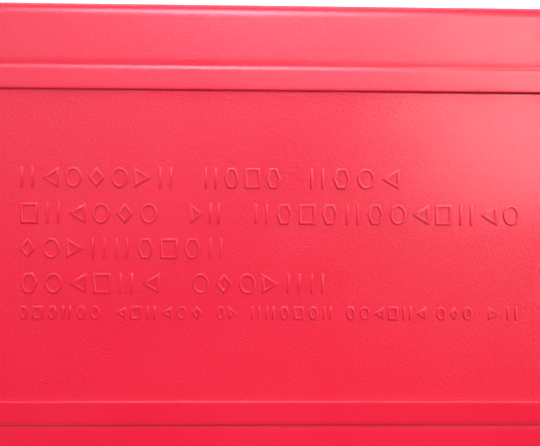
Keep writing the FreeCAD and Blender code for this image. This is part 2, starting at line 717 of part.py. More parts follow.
def leg_feet(name, side):
    """The two rubber feet that cover a leg's ends."""
    body = new_body(f"leg_{name}_feet")
    outline = sketch_on(body, "XY_Plane")
    for end in (-1, 1):
        rectangle(outline, -d.foot_width / 2, (leg_reach - d.foot_length) * end,
                  d.foot_width / 2, leg_reach * end)
    blocks = pad(body, outline, d.foot_height)

    def upright_corner(p):
        at_end = near(abs(p.y), leg_reach) or near(abs(p.y), leg_reach - d.foot_length)
        return near(abs(p.x), d.foot_width / 2) and at_end

    rounded(body, blocks, upright_corner, d.foot_round)
    slot = sketch_on(body, "YZ_Plane")
    leg_profile(slot)
    pocket(body, slot, d.leg_width, both_ways=True)
    place(body, d.leg_place * side, leg_y)
    return body


# ---------------------------------------------------------------- build, check and write

sub_parts = [case_tray(), case_lid(), lid_hinge_pins(), base_housing(), left_arm_housing(), right_arm_housing()]
for bar_name in BAR_TURN:
    for strip_name in STRIPS:
        sub_parts.append(strip_lens(bar_name, strip_name))
sub_parts += pivot_pieces() + apex_lock()
sub_parts += [stand_rail(), rail_studs(), leg_rivets(), leg_washers()]
for leg_name, leg_side in (("left", -1), ("right", 1)):
    sub_parts += [leg(leg_name, leg_side), leg_feet(leg_name, leg_side)]

doc.recompute()
for item in doc.Objects:
    if "Invalid" in item.State or "Error" in item.State:
        raise RuntimeError(f"{item.Label} failed: {item.State}")
for item in sub_parts:
    if item.Shape.isNull() or not item.Shape.isValid():
        raise RuntimeError(f"{item.Label} has no valid shape")

os.makedirs("parts", exist_ok=True)
for item in sub_parts:
    item.Shape.exportStep(f"parts/{item.Label}.step")
    box = item.Shape.BoundBox
    print(f"{item.Label:24} {item.Shape.Volume / 1000:9.2f} cm3  solids {len(item.Shape.Solids)}  "
          f"x {box.XMin:.2f}..{box.XMax:.2f}  y {box.YMin:.2f}..{box.YMax:.2f}  z {box.ZMin:.2f}..{box.ZMax:.2f}")
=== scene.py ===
# %% [markdown]
# # A folding warning triangle and its storage case
# The set is a flat red plastic case that lies closed on the ground, and behind it the triangle that it stores,
# set up on its stand. The engineering model comes first, as a fixed frame. Every visible piece is then made
# around it: mesh code for the shapes, shader nodes for plastic, steel, rubber and reflectors.

# %% Load the frame and keep its size
import json
import math

import bmesh
import bpy
from mathutils import Matrix, Vector


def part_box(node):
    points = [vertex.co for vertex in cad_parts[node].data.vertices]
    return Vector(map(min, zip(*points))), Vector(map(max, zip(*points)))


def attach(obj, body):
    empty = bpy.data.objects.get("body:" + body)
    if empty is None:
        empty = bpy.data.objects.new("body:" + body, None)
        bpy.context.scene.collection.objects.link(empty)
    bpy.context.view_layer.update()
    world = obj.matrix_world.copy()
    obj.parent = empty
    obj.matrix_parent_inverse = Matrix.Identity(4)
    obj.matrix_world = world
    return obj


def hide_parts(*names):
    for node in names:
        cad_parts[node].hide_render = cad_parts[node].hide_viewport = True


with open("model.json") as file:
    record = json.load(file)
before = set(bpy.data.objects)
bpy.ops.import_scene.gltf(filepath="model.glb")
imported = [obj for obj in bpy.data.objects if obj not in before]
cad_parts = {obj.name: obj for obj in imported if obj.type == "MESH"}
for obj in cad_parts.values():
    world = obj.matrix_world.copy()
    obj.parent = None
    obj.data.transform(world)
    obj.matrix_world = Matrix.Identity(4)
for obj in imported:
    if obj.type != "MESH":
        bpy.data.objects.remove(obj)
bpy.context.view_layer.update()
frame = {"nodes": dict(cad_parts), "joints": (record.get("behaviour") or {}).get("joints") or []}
joints = {joint["name"]: joint for joint in frame["joints"]}

# %% [markdown]
# All sizes below are in millimetres, as a maker writes them, and are turned to metres only when a shape is
# built. The case's centre line is found from the hinge, because the hinge is a joint of the frame.

# %% Sizes of the case and places from the frame
MM = 0.001
LENGTH, WIDTH, HEIGHT = 442.0, 111.4, 42.0
WALL, CORNER, EDGE = 2.0, 12.0, 3.0
FRAME_INSET, FRAME_WIDTH, FRAME_RISE = 14.8, 5.5, 0.7
FRAME_CORNER, PANEL_CORNER = 6.0, 3.0
HINGE_OUT, KNUCKLE = 2.5, 2.2
HALF = HEIGHT / 2
FACE = HALF - FRAME_RISE                      # broad face, measured from the parting plane

hinge = Vector(joints["lid_hinge"]["pos_m"]) / MM
case_middle = hinge.y + HINGE_OUT + WIDTH / 2  # centre line of the case, along Y
parting = hinge.z                              # height of the plane where lid and tray meet
left_pivot = Vector(joints["left_arm_fold"]["pos_m"]) / MM
right_pivot = Vector(joints["right_arm_fold"]["pos_m"]) / MM
print(f"case centre line at y = {case_middle:.2f} mm, parting plane at z = {parting:.2f} mm")

# %% [markdown]
# ## Camera
# The camera looks down on the lid from about 19 cm above it, so only the middle of the case is in view. It
# stands a little to the left of what it aims at, and is rolled by a fraction of a degree.

# %% Camera
CAMERA_HEIGHT = 192.0
CAMERA_LEFT = 5.0
CAMERA_ROLL = math.radians(0.3)
AIM = Vector((0.0, case_middle + 5.2, HEIGHT))
SEEN_WIDTH = 123.2                            # how much of the lid is in view, across
SENSOR = 36.0

camera_data = bpy.data.cameras.new("camera")
camera_data.sensor_width = SENSOR
camera_data.lens = SENSOR * CAMERA_HEIGHT / SEEN_WIDTH
camera_data.clip_start = 0.01
camera = bpy.data.objects.new("camera", camera_data)
bpy.context.scene.collection.objects.link(camera)
camera_place = AIM + Vector((-CAMERA_LEFT, 0.0, CAMERA_HEIGHT))
look = (AIM - camera_place).normalized()
right = look.cross(Vector((0, 1, 0))).normalized()
upward = right.cross(look)
turn = Matrix((right, upward, -look)).transposed()
rolled = turn @ Matrix.Rotation(CAMERA_ROLL, 3, "Z")
camera.matrix_world = Matrix.Translation(camera_place * MM) @ rolled.to_4x4()
bpy.context.scene.camera = camera
print(f"lens {camera_data.lens:.1f} mm")

# %% [markdown]
# ## Light
# A product on a white sweep is lit by large soft sources. Most of the light comes from softboxes up behind the
# case, so the far side of the lid shows a pale sheen which fades towards the viewer. Two smaller boxes on the
# right put a stronger sheen on that side. Each of these is given by two angles from straight up, to the right
# and to the rear, as seen from the lid. Two low boxes in front light the standing triangle, and graze past the
# lid without being mirrored in it.

# %% Lights and background
def softbox(name, place, aim, size, power, colour):
    data = bpy.data.lights.new(name, "AREA")
    data.shape = "RECTANGLE"
    data.size, data.size_y = size
    data.energy = power
    data.color = colour
    lamp = bpy.data.objects.new(name, data)
    bpy.context.scene.collection.objects.link(lamp)
    direction = (Vector(aim) - Vector(place)).normalized()
    lamp.matrix_world = Matrix.Translation(Vector(place)) @ direction.to_track_quat("-Z", "Y").to_matrix().to_4x4()
    return lamp


COOL, NEUTRAL = (0.80, 0.80, 1.0), (1.0, 0.98, 1.0)
OVERHEAD = [
    # name, degrees to the right, degrees to the rear, width and height, power, colour
    ("rear_key", -4, 38, (0.34, 0.72), 23.0, COOL),
    ("rear_key_near", 0, 24, (0.3, 0.3), 2.6, COOL),
    ("rear_window", 0, 63, (1.1, 0.5), 5.0, NEUTRAL),
    ("rear_left", -22, 35, (0.4, 0.4), 2.6, COOL),
    ("rear_right", 22, 35, (0.4, 0.4), 2.6, NEUTRAL),
    ("left_sheen", -20, 15, (0.4, 0.4), 1.6, COOL),
    ("right_sheen_high", 22, 21, (0.3, 0.3), 3.2, NEUTRAL),
    ("right_sheen_low", 25, 16, (0.2, 0.2), 3.6, NEUTRAL),
    ("front_soft", 0, -35, (0.4, 0.4), 0.3, NEUTRAL),
]
LOW = [
    ("front_low_left", (-1.0, -2.4, 0.75), (0.9, 0.9), 7.0),
    ("front_low_right", (1.3, -2.2, 0.7), (0.9, 0.9), 6.0),
]
LAMP_DISTANCE = 1.3                           # metres from the lid
lid_centre = Vector((0.0, case_middle * MM, HEIGHT * MM))
for name, to_right, to_rear, size, power, colour in OVERHEAD:
    away = Vector((math.tan(math.radians(to_right)), math.tan(math.radians(to_rear)), 1)).normalized()
    softbox(name, lid_centre + away * LAMP_DISTANCE, lid_centre, size, power, colour)
for name, place, size, power in LOW:
    softbox(name, place, (0, 0, 0.2), size, power, NEUTRAL)

# %% [markdown]
# ## Node helpers
# These keep the node code short: add a node with its inputs, make a group, do a sum, and shape a value.

# %% Node helpers
def add(tree, kind, **values):
    """Add a node. A value is a property or an input, by name or by number (i0, i1); a socket is linked."""
    node = tree.nodes.new(kind)
    for key, value in values.items():
        numbered = key.startswith("i") and key[1:].isdigit()
        socket = node.inputs[int(key[1:])] if numbered else node.inputs.get(key.replace("_", " "))
        if socket is None:
            setattr(node, key, value)
        elif isinstance(value, bpy.types.NodeSocket):
            tree.links.new(value, socket)
        else:
            socket.default_value = value
    return node


def new_group(name, inputs, outputs):
    group = bpy.data.node_groups.new(name, "ShaderNodeTree")
    for label, kind, default in inputs:
        socket = group.interface.new_socket(label, in_out="INPUT", socket_type=kind)
        if default is not None:
            socket.default_value = default
    for label, kind in outputs:
        group.interface.new_socket(label, in_out="OUTPUT", socket_type=kind)
    return group, group.nodes.new("NodeGroupInput"), group.nodes.new("NodeGroupOutput")


def calc(tree, operation, a, b=0.0):
    return add(tree, "ShaderNodeMath", operation=operation, i0=a, i1=b).outputs[0]


def ramp(tree, value, low, high, to_low=0.0, to_high=1.0):
    """A smooth step from to_low to to_high, as the value goes from low to high."""
    return add(tree, "ShaderNodeMapRange", interpolation_type="SMOOTHSTEP", Value=value, From_Min=low, From_Max=high,
               To_Min=to_low, To_Max=to_high).outputs["Result"]


def in_mm(tree, place):
    return add(tree, "ShaderNodeVectorMath", operation="SCALE", i0=place, Scale=1000.0).outputs[0]


# %% [markdown]
# ## Background
# The background is plain white to the camera. To everything else it is a pale band near the horizon that
# falls off towards the zenith, so upright faces are filled in while the lid stays dark enough to show sheen.

# %% World
HORIZON, ZENITH = 0.75, 0.04                  # strength of the background

world = bpy.data.worlds.new("studio")
bpy.context.scene.world = world
world.use_nodes = True
tree = world.node_tree
tree.nodes.clear()
rays = tree.nodes.new("ShaderNodeLightPath")
direction = tree.nodes.new("ShaderNodeTexCoord")
split = add(tree, "ShaderNodeSeparateXYZ", Vector=direction.outputs["Generated"])
level = ramp(tree, split.outputs["Z"], 0.18, 0.60, HORIZON, ZENITH)
around = add(tree, "ShaderNodeBackground", Color=(1, 0.97, 1, 1), Strength=level)
seen = add(tree, "ShaderNodeBackground", Color=(1, 1, 1, 1), Strength=1.0)
pick = add(tree, "ShaderNodeMixShader", i0=rays.outputs["Is Camera Ray"], i1=around.outputs[0], i2=seen.outputs[0])
add(tree, "ShaderNodeOutputWorld", Surface=pick.outputs[0])
bpy.context.scene.view_settings.view_transform = "Standard"

# %% [markdown]
# ## Shader groups
# Two effects are shared by many finishes, so each is a node group: the grain of a moulded surface, with slow
# patches over it, and handling marks, which are thin scratches and soft smears. A group gives out heights and
# masks, and each material decides what to do with them. Textures are laid out in millimetres.

# %% Groups: grain and handling marks
def make_grain_group():
    group, given, result = new_group(
        "moulded_grain",
        [("Vector", "NodeSocketVector", None), ("Grain per mm", "NodeSocketFloat", 1.5),
         ("Stretch", "NodeSocketFloat", 1.0)],
        [("Height", "NodeSocketFloat"), ("Patches", "NodeSocketFloat")])
    scaled = in_mm(group, given.outputs["Vector"])
    flow = add(group, "ShaderNodeCombineXYZ", X=1.0, Y=given.outputs["Stretch"], Z=1.0)
    stretched = add(group, "ShaderNodeVectorMath", operation="MULTIPLY", i0=scaled, i1=flow.outputs[0])
    fine = add(group, "ShaderNodeTexNoise", Vector=stretched.outputs[0], Scale=given.outputs["Grain per mm"],
               Detail=3.0, Roughness=0.6)
    cells = add(group, "ShaderNodeTexVoronoi", Vector=stretched.outputs[0], Scale=given.outputs["Grain per mm"])
    both = calc(group, "ADD", calc(group, "MULTIPLY", fine.outputs[0], 0.7),
                calc(group, "MULTIPLY", cells.outputs["Distance"], 0.3))
    slow = add(group, "ShaderNodeTexNoise", Vector=scaled, Scale=0.045, Detail=2.0)
    group.links.new(both, result.inputs["Height"])
    group.links.new(slow.outputs[0], result.inputs["Patches"])
    return group


def make_handling_group():
    """Thin scratches and soft smears, as a mask from 0 to 1."""
    group, given, result = new_group(
        "handling_marks",
        [("Vector", "NodeSocketVector", None), ("Amount", "NodeSocketFloat", 0.5)],
        [("Scratches", "NodeSocketFloat"), ("Smears", "NodeSocketFloat")])
    scaled = in_mm(group, given.outputs["Vector"])
    bend = add(group, "ShaderNodeTexNoise", Vector=scaled, Scale=0.012, Detail=0.0)
    bent = add(group, "ShaderNodeVectorMath", operation="SCALE", i0=bend.outputs["Color"], Scale=60.0)
    moved = add(group, "ShaderNodeVectorMath", operation="ADD", i0=scaled, i1=bent.outputs[0])
    drawn = add(group, "ShaderNodeVectorMath", operation="MULTIPLY", i0=moved.outputs[0], i1=(0.03, 1.0, 0.2))
    lines = add(group, "ShaderNodeTexNoise", Vector=drawn.outputs[0], Scale=0.7, Detail=2.0)
    gated = ramp(group, lines.outputs[0], 0.66, 0.74)
    smear = add(group, "ShaderNodeTexNoise", Vector=moved.outputs[0], Scale=0.03, Detail=1.0)
    soft = ramp(group, smear.outputs[0], 0.2, 0.9)
    group.links.new(calc(group, "MULTIPLY", gated, given.outputs["Amount"]), result.inputs["Scratches"])
    group.links.new(calc(group, "MULTIPLY", soft, given.outputs["Amount"]), result.inputs["Smears"])
    return group


grain_group = make_grain_group()
handling_group = make_handling_group()
print("shader groups:", grain_group.name, handling_group.name)

# %% [markdown]
# ## Finishes
# Each finish is one material. Colours are linear values. A plastic's red is even, so its life comes from
# roughness: grain breaks up the sheen, and handling leaves faint smears.

# %% Material helper
def new_material(name, colour, roughness, metallic=0.0, coat=0.0):
    material = bpy.data.materials.new(name)
    material.use_nodes = True
    tree = material.node_tree
    shader = tree.nodes["Principled BSDF"]
    for key, value in (("Base Color", (*colour, 1.0)), ("Roughness", roughness), ("Metallic", metallic),
                       ("Coat Weight", coat), ("Coat Roughness", 0.08)):
        shader.inputs[key].default_value = value
    place = tree.nodes.new("ShaderNodeTexCoord")
    return material, tree, shader, place.outputs["Object"]


def use_group(tree, group, **values):
    return add(tree, "ShaderNodeGroup", node_tree=group, **values)


def bump(tree, shader, height, distance, strength=1.0, before=None):
    """Bump of so many millimetres; before is the normal of an earlier bump."""
    node = add(tree, "ShaderNodeBump", Distance=distance * MM, Strength=strength, Height=height)
    if before is not None:
        tree.links.new(before, node.inputs["Normal"])
    tree.links.new(node.outputs[0], shader.inputs["Normal"])
    return node.outputs[0]


def moulded_plastic(name, colour, roughness, grain_per_mm, depth, handled):
    """A moulded plastic: grain in the bump, patches and smears in the roughness."""
    material, tree, shader, place = new_material(name, colour, roughness)
    grain = use_group(tree, grain_group, Vector=place, Grain_per_mm=grain_per_mm)
    marks = use_group(tree, handling_group, Vector=place, Amount=handled)
    patchy = ramp(tree, grain.outputs["Patches"], 0.3, 0.7, roughness - 0.05, roughness + 0.05)
    rough = calc(tree, "ADD", patchy, calc(tree, "MULTIPLY", marks.outputs["Smears"], 0.12))
    scratched = calc(tree, "ADD", rough, calc(tree, "MULTIPLY", marks.outputs["Scratches"], 0.2))
    tree.links.new(scratched, shader.inputs["Roughness"])
    bump(tree, shader, grain.outputs["Height"], depth)
    return material


# %% [markdown]
# The case is seen closest, so it has its own material. Its sheen is strongest at one corner of the panel. That
# is a shallow tilt of the shading there, and the mesh isn't dented. Its roughness stays above 0.28 all over, so
# that the sheen has no visible contours.

# %% The case's red plastic
CASE_RED = (0.62, 0.006, 0.027)


def make_case_plastic():
    """Satin red. The panel inside the raised frame has a slightly coarser grain than the border."""
    material, tree, shader, place = new_material("case_plastic", CASE_RED, 0.4)
    parts = add(tree, "ShaderNodeSeparateXYZ", Vector=place)
    from_middle = calc(tree, "ABSOLUTE", calc(tree, "SUBTRACT", parts.outputs["Y"], case_middle * MM))
    panel_half = (WIDTH / 2 - FRAME_INSET - FRAME_WIDTH) * MM
    on_panel = ramp(tree, from_middle, panel_half - 0.0002, panel_half + 0.0002, 1.0, 0.0)
    grain = use_group(tree, grain_group, Vector=place, Grain_per_mm=1.7, Stretch=2.2)
    fine = use_group(tree, grain_group, Vector=place, Grain_per_mm=5.0, Stretch=1.0)
    marks = use_group(tree, handling_group, Vector=place, Amount=0.6)
    border_rough = ramp(tree, grain.outputs["Patches"], 0.3, 0.7, 0.29, 0.34)
    panel_rough = ramp(tree, grain.outputs["Patches"], 0.3, 0.7, 0.285, 0.315)
    mixed = add(tree, "ShaderNodeMix", data_type="FLOAT", i0=on_panel, i2=border_rough, i3=panel_rough)
    rough = calc(tree, "ADD", mixed.outputs[0], calc(tree, "MULTIPLY", marks.outputs["Smears"], 0.05))
    tree.links.new(rough, shader.inputs["Roughness"])
    coarse = calc(tree, "MULTIPLY", grain.outputs["Height"], ramp(tree, on_panel, 0.0, 1.0, 0.8, 1.0))
    height = calc(tree, "ADD", coarse, calc(tree, "MULTIPLY", fine.outputs["Height"], 0.3))
    to_right = ramp(tree, parts.outputs["X"], 0.018, 0.070)
    up_panel = ramp(tree, parts.outputs["Y"], (case_middle + 2) * MM, (case_middle + 44) * MM)
    outside = ramp(tree, parts.outputs["Z"], 0.0400, 0.0404)
    upper_right = calc(tree, "MULTIPLY", to_right, up_panel)
    sunk = calc(tree, "MULTIPLY", calc(tree, "MULTIPLY", upper_right, on_panel), outside)
    slow = bump(tree, shader, calc(tree, "MULTIPLY", sunk, -1.0), 2.2)
    bump(tree, shader, height, 0.062, before=slow)
    return material


case_plastic = make_case_plastic()
housing_plastic = moulded_plastic("housing_plastic", (0.42, 0.008, 0.013), 0.40, 2.2, 0.03, handled=0.5)
black_nylon = moulded_plastic("black_nylon", (0.03, 0.03, 0.033), 0.42, 3.0, 0.010, handled=0.3)
rubber = moulded_plastic("foot_rubber", (0.028, 0.028, 0.03), 0.72, 1.2, 0.05, handled=0.6)


# %% [markdown]
# The strips are what a driver sees. The fluorescent one is matte and gives off a little light of its own. The
# reflector is clear red plastic over a lattice of small prisms. The stand is zinc-plated steel, kept dark
# because it mirrors a white room.

# %% Fluorescent strip, reflector and steel
def make_fluorescent():
    """Matte orange-red that seems to glow: a little emission stands for the fluorescence."""
    material, tree, shader, place = new_material("fluorescent_strip", (1.0, 0.10, 0.025), 0.38)
    grain = use_group(tree, grain_group, Vector=place, Grain_per_mm=3.5, Stretch=1.0)
    tree.links.new(ramp(tree, grain.outputs["Patches"], 0.3, 0.7, 0.32, 0.44), shader.inputs["Roughness"])
    shader.inputs["Emission Color"].default_value = (1.0, 0.07, 0.015, 1.0)
    shader.inputs["Emission Strength"].default_value = 0.22
    bump(tree, shader, grain.outputs["Height"], 0.015)
    return material


def make_prism_group():
    """Corner prisms: three sets of ridges at 60 degrees make a lattice of three-sided facets in the XZ plane."""
    group, given, result = new_group("prism_lattice", [("Vector", "NodeSocketVector", None),
                                                       ("Pitch in mm", "NodeSocketFloat", 2.4)],
                                     [("Height", "NodeSocketFloat"), ("Facet", "NodeSocketFloat"),
                                      ("Sparkle", "NodeSocketFloat")])
    waves = []
    for degrees in (0, 60, 120):
        turn = math.radians(degrees)
        along = add(group, "ShaderNodeVectorMath", operation="DOT_PRODUCT", i0=given.outputs["Vector"],
                    i1=(1000 * math.cos(turn), 0.0, 1000 * math.sin(turn)))
        ridge = calc(group, "DIVIDE", along.outputs["Value"], given.outputs["Pitch in mm"])
        waves.append(calc(group, "PINGPONG", ridge, 1.0))
    top = calc(group, "MAXIMUM", calc(group, "MAXIMUM", waves[0], waves[1]), waves[2])
    low = calc(group, "MINIMUM", calc(group, "MINIMUM", waves[0], waves[1]), waves[2])
    group.links.new(calc(group, "SUBTRACT", top, low), result.inputs["Height"])
    group.links.new(calc(group, "GREATER_THAN", waves[0], waves[1]), result.inputs["Facet"])
    scaled = in_mm(group, given.outputs["Vector"])
    # Sparkle is a random tone per cell; the reflector turns it into painted glints.
    cells = add(group, "ShaderNodeTexVoronoi", Vector=scaled, Scale=0.42)
    tone = add(group, "ShaderNodeSeparateColor", Color=cells.outputs["Color"])
    group.links.new(tone.outputs[0], result.inputs["Sparkle"])
    return group


prism_group = make_prism_group()


def make_reflector():
    """Clear red plastic over corner prisms: the base colour carries painted shade on the facets and painted glints on
    scattered cells.
    """
    material, tree, shader, place = new_material("reflector_lens", (0.6, 0.008, 0.012), 0.16, coat=0.35)
    prisms = use_group(tree, prism_group, Vector=place, Pitch_in_mm=2.4)
    # Painted shade: the base colour is darker where the prism height is low and lighter on the ridges.
    shade = add(tree, "ShaderNodeMix", data_type="RGBA", i0=prisms.outputs["Height"],
                i6=(0.40, 0.003, 0.006, 1), i7=(0.88, 0.020, 0.016, 1))
    # Painted glints: on scattered cells the base colour is pushed towards a bright red.
    lit_up = ramp(tree, prisms.outputs["Sparkle"], 0.55, 1.0, 0.0, 0.6)
    flash = add(tree, "ShaderNodeMix", data_type="RGBA", i0=lit_up, i6=shade.outputs[2], i7=(1.0, 0.07, 0.05, 1))
    tree.links.new(flash.outputs[2], shader.inputs["Base Color"])
    tree.links.new(ramp(tree, prisms.outputs["Facet"], 0.0, 1.0, 0.14, 0.26), shader.inputs["Roughness"])
    bump(tree, shader, prisms.outputs["Height"], 0.25, strength=0.6)
    return material


def make_steel():
    """Zinc-plated sheet: a long brushed grain and cloudy patches of brightness."""
    material, tree, shader, place = new_material("zinc_steel", (0.62, 0.63, 0.65), 0.34, metallic=1.0)
    brushed = use_group(tree, grain_group, Vector=place, Grain_per_mm=1.2, Stretch=0.08)
    cells = add(tree, "ShaderNodeTexVoronoi", Vector=in_mm(tree, place), Scale=0.6)
    tone = add(tree, "ShaderNodeSeparateColor", Color=cells.outputs["Color"])
    shade = add(tree, "ShaderNodeMix", data_type="RGBA", i0=tone.outputs[0],
                i6=(0.19, 0.20, 0.215, 1), i7=(0.27, 0.28, 0.29, 1))
    tree.links.new(shade.outputs[2], shader.inputs["Base Color"])
    tree.links.new(ramp(tree, brushed.outputs["Height"], 0.2, 0.8, 0.42, 0.56), shader.inputs["Roughness"])
    bump(tree, shader, brushed.outputs["Height"], 0.006)
    return material


fluorescent = make_fluorescent()
reflector = make_reflector()
steel = make_steel()
print("materials:", len(bpy.data.materials))

# %% [markdown]
# ## Floor
# The floor is a plain white sheet. To the camera it glows a little, which keeps it white, and it still
# receives a soft shadow of the case and the triangle. Further out it fades into the white background.

# %% Floor
FLOOR_GLOW, FADE_FROM, FADE_TO = 0.22, 0.35, 0.9


def make_floor():
    material = bpy.data.materials.new("floor_white")
    material.use_nodes = True
    tree = material.node_tree
    tree.nodes.clear()
    rays = tree.nodes.new("ShaderNodeLightPath")
    shown = calc(tree, "MAXIMUM", rays.outputs["Is Camera Ray"], rays.outputs["Is Glossy Ray"])
    paint = add(tree, "ShaderNodeBsdfDiffuse", Color=(0.85, 0.85, 0.85, 1))
    glow = add(tree, "ShaderNodeEmission", Color=(1, 1, 1, 1), Strength=calc(tree, "MULTIPLY", shown, FLOOR_GLOW))
    lit = add(tree, "ShaderNodeAddShader", i0=paint.outputs[0], i1=glow.outputs[0])
    place = tree.nodes.new("ShaderNodeTexCoord")
    away = add(tree, "ShaderNodeVectorMath", operation="LENGTH", i0=place.outputs["Object"])
    far = calc(tree, "MULTIPLY", ramp(tree, away.outputs["Value"], FADE_FROM, FADE_TO), rays.outputs["Is Camera Ray"])
    white = add(tree, "ShaderNodeEmission", Color=(1, 1, 1, 1), Strength=1.0)
    sweep = add(tree, "ShaderNodeMixShader", i0=far, i1=lit.outputs[0], i2=white.outputs[0])
    add(tree, "ShaderNodeOutputMaterial", Surface=sweep.outputs[0])
    mesh = bpy.data.meshes.new("floor")
    bm = bmesh.new()
    bmesh.ops.create_grid(bm, x_segments=1, y_segments=1, size=6.0)
    bm.to_mesh(mesh)
    bm.free()
    mesh.materials.append(material)
    floor = bpy.data.objects.new("floor", mesh)
    bpy.context.scene.collection.objects.link(floor)


make_floor()

# %% [markdown]
# ## Piece helpers
# A piece is built in millimetres in a bmesh, scaled to metres once, and given to a body of the frame. Smooth
# shading is kept only between faces that meet at a small angle, so moulded edges stay crisp.

# %% Piece helpers
def finish_piece(name, bm, material, body, replaced=(), angle=32.0, recalculate=True):
    bmesh.ops.remove_doubles(bm, verts=bm.verts[:], dist=0.0005)
    if recalculate:
        bmesh.ops.recalc_face_normals(bm, faces=bm.faces[:])
    bmesh.ops.scale(bm, vec=(MM, MM, MM), verts=bm.verts[:])
    mesh = bpy.data.meshes.new(name)
    bm.to_mesh(mesh)
    bm.free()
    mesh.materials.append(material)
    mesh.shade_smooth()
    mesh.set_sharp_from_angle(angle=math.radians(angle))
    piece = bpy.data.objects.new(name, mesh)
    bpy.context.scene.collection.objects.link(piece)
    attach(piece, body)
    if replaced:
        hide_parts(*replaced)
    print(f"{name}: {len(mesh.polygons)} faces")
    return piece


def soften(bm, edges, offset, steps=2, clamp=False):
    bmesh.ops.bevel(bm, geom=edges, offset=offset, segments=steps, profile=0.5, affect="EDGES", material=-1,
                    clamp_overlap=clamp)


def grow(bm, faces, shift):
    """Extrude flat faces by a shift; the new vertices come back."""
    made = bmesh.ops.extrude_face_region(bm, geom=faces, use_keep_orig=True)["geom"]
    verts = [item for item in made if isinstance(item, bmesh.types.BMVert)]
    bmesh.ops.translate(bm, vec=shift, verts=verts)
    return verts


def block(bm, low, high, soft=0.3, steps=2):
    """A box between two corners, with its edges softened."""
    low, high = Vector(low), Vector(high)
    made = bmesh.ops.create_cube(bm, size=1.0)["verts"]
    size = high - low
    bmesh.ops.scale(bm, vec=size, verts=made)
    bmesh.ops.translate(bm, vec=(low + high) / 2, verts=made)
    edges = list({edge for vert in made for edge in vert.link_edges})
    soften(bm, edges, soft, steps)


def corner_ring(bm, half_x, half_y, radius, z, steps=9):
    """A closed ring of edges: a rectangle with quarter-round corners."""
    before = set(bm.faces)
    verts = bmesh.ops.create_grid(bm, x_segments=1, y_segments=1, size=1.0)["verts"]
    bmesh.ops.scale(bm, vec=(half_x, half_y, 1.0), verts=verts)
    bmesh.ops.translate(bm, vec=(0.0, 0.0, z), verts=verts)
    bmesh.ops.bevel(bm, geom=verts, offset=radius, segments=steps, profile=0.5, affect="VERTICES", material=-1)
    face = next(face for face in bm.faces if face not in before)
    edges = list(face.edges)
    bmesh.ops.delete(bm, geom=[face], context="FACES_ONLY")
    return edges


def turned(bm, profile, middle, axis, steps=48):
    """Spin a profile of (radius, distance) pairs once about an axis through a point."""
    axis = Vector(axis).normalized()
    side = axis.orthogonal().normalized()
    middle = Vector(middle)
    verts = [bm.verts.new(middle + side * radius + axis * along) for radius, along in profile]
    edges = [bm.edges.new(pair) for pair in zip(verts, verts[1:])]
    bmesh.ops.spin(bm, geom=verts + edges, cent=middle, axis=axis, angle=math.tau, steps=steps, use_merge=True)


# %% [markdown]
# ## The case's two shells
# The lid and the tray come from the same mould shape. It is built as a stack of rounded rings, from the middle
# of the panel outwards, over the raised frame and the rounded edge, down the wall to the rim, and back up the
# inside. Bridging each ring to the next gives one closed wall. The panel sinks a little in its middle, as a
# thin moulding does when it cools. The raised frame has a rounded outer shoulder, and round its foot runs a
# faint dip that fades into the border.

# %% Rings of a shell
DISH = 0.45                                   # how far the panel's middle sinks
FOOT_SLOPE, FOOT_DIP = 1.8, 0.10              # width and depth of the dip round the frame
SHOULDER, SHOULDER_TURN = 2.6, 20.0           # radius and degrees of the frame's outer shoulder
STEP_ROUND = 0.22                             # radius of the frame's inner edge


